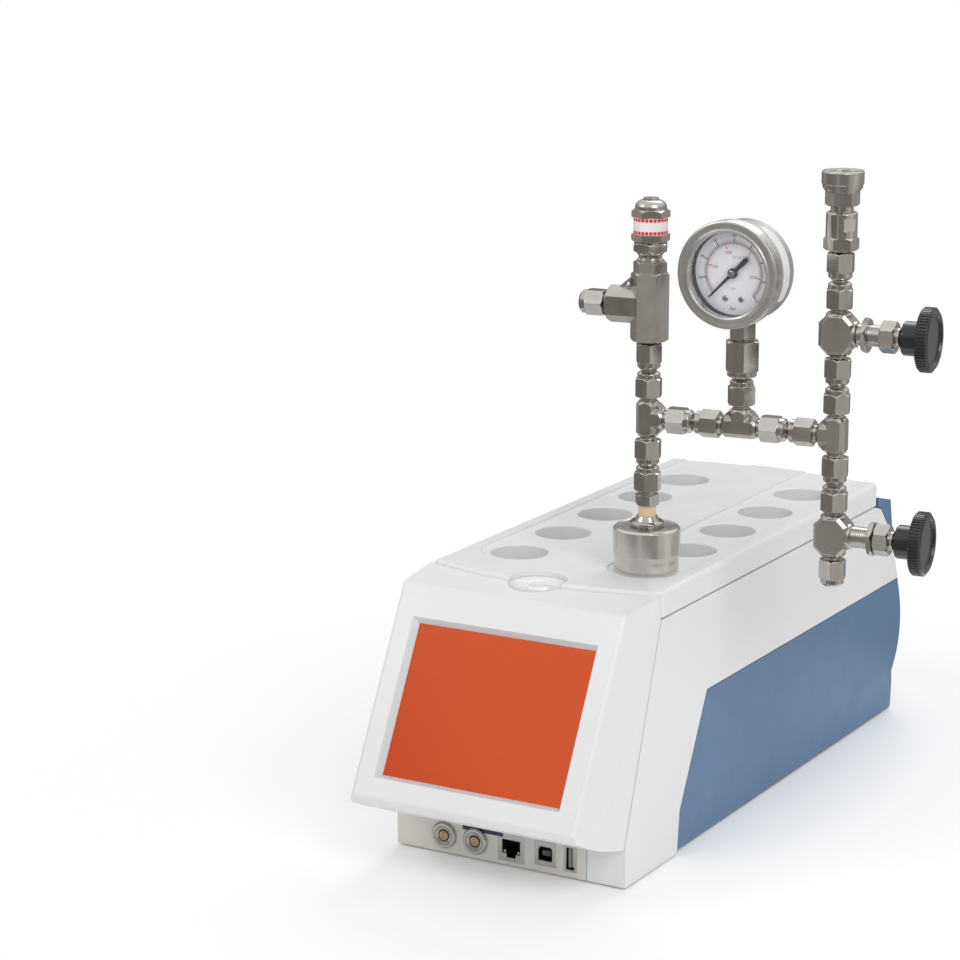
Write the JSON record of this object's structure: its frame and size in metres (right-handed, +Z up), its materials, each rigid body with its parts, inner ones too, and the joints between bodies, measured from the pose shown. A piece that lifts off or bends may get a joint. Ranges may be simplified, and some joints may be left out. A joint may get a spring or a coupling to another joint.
{
  "type": "parallel pressure reactor",
  "caption": "Bench-top reaction station with a sloping touch display, rows of round heated wells, and a vessel head carrying a gas manifold with gauge, needle valves and relief valve.",
  "frame": {"origin": "on the bench, in the middle of the object's outline seen from above", "axes": "+Z up, +Y from the display towards the rear, +X towards the manifold's handles"},
  "size_m": [0.287, 0.4705, 0.4037],
  "materials": {
    "white_shell": "satin moulded plastic",
    "blue_casing": "finely textured plastic",
    "display_glass": "glossy",
    "black_plastic": "satin",
    "frosted_lens": "frosted",
    "grey_panel": "fine texture",
    "grey_socket": "satin",
    "plated_steel": "nickel plated",
    "circuit_board": "solder mask",
    "steel_sheet": "rolled sheet",
    "rubber": "matte",
    "cell_aluminium": "machined",
    "stainless": "machined stainless steel",
    "stainless_turned": "fine turned stainless steel",
    "seal_white": "smooth fluoropolymer",
    "tan_polymer": "satin machined polymer",
    "clear_glass": "clear",
    "dial_white": "matte enamel",
    "pointer_black": "matte",
    "handle_black": "moulded phenolic"
  },
  "bodies": {
    "station": {"body_shell": "white_shell", "front_bezel": "white_shell", "top_cover": "white_shell", "rear_casing": "blue_casing", "display_window": "display_glass", "display_module": "black_plastic", "status_window": "frosted_lens", "connector_plate": "grey_panel", "probe_sockets": "grey_socket", "network_socket": "plated_steel", "usb_b_socket": "plated_steel", "usb_a_socket": "plated_steel", "control_board": "circuit_board", "base_tray": "steel_sheet", "rubber_feet": "rubber", "mains_inlet": "black_plastic", "stirrer_units": "steel_sheet", "reactor_vessel": "stainless", "vessel_head": "stainless_turned", "head_seal": "seal_white", "head_ring": "black_plastic", "head_collar": "tan_polymer", "head_connector": "stainless", "left_tee": "stainless", "middle_tee": "stainless", "right_tee": "stainless", "compression_nuts": "stainless", "vent_nut": "stainless", "inlet_nut": "stainless", "link_tubes": "stainless", "relief_body": "stainless", "relief_bonnet": "stainless", "relief_cap": "stainless_turned", "gauge_adapter": "stainless", "gauge_socket": "stainless", "gauge_case": "stainless_turned", "gauge_bezel": "stainless_turned", "gauge_window": "clear_glass", "gauge_dial": "dial_white", "bonnet_nuts": "stainless", "lower_valve_body": "stainless", "upper_valve_body": "stainless", "coupler_body": "stainless", "heating_cell_1": "cell_aluminium", "heating_cell_2": "cell_aluminium", "heating_cell_3": "cell_aluminium", "heating_cell_4": "cell_aluminium", "heating_cell_5": "cell_aluminium", "heating_cell_6": "cell_aluminium", "heating_cell_7": "cell_aluminium", "heating_cell_8": "cell_aluminium", "heating_cell_9": "cell_aluminium", "heating_cell_10": "cell_aluminium"},
    "lower_spindle": {"lower_valve_stem": "stainless_turned", "lower_valve_handle": "handle_black"},
    "upper_spindle": {"upper_valve_stem": "stainless_turned", "upper_valve_handle": "handle_black"},
    "pointer": {"gauge_pointer": "pointer_black"},
    "sleeve": {"coupler_sleeve": "stainless_turned"},
    "rocker": {"power_switch": "black_plastic"}
  },
  "joints": [
    {"name": "lower_valve_turn", "type": "hinge", "parent": "station", "child": "lower_spindle", "pos_m": [0.12643, -0.07637, 0.1965], "axis": [0.9945, 0.1045, 0], "range_deg": [0, 1080]},
    {"name": "upper_valve_turn", "type": "hinge", "parent": "station", "child": "upper_spindle", "pos_m": [0.12643, -0.07637, 0.3125], "axis": [0.9945, 0.1045, 0], "range_deg": [0, 1080]},
    {"name": "gauge_reading", "type": "hinge", "parent": "station", "child": "pointer", "pos_m": [0.03055, -0.10164, 0.3445], "axis": [0, 1, 0], "range_deg": [0, 270], "stiffness_Nm_per_rad": 0.00002},
    {"name": "sleeve_slide", "type": "slide", "parent": "station", "child": "sleeve", "axis": [0, 0, -1], "range_m": [0, 0.0024], "stiffness_N_per_m": 800, "springref_m": -0.002},
    {"name": "power_rocker", "type": "hinge", "parent": "station", "child": "rocker", "pos_m": [-0.05304, 0.22816, 0.062], "axis": [1, 0, 0], "range_deg": [-16, 0]}
  ]
}
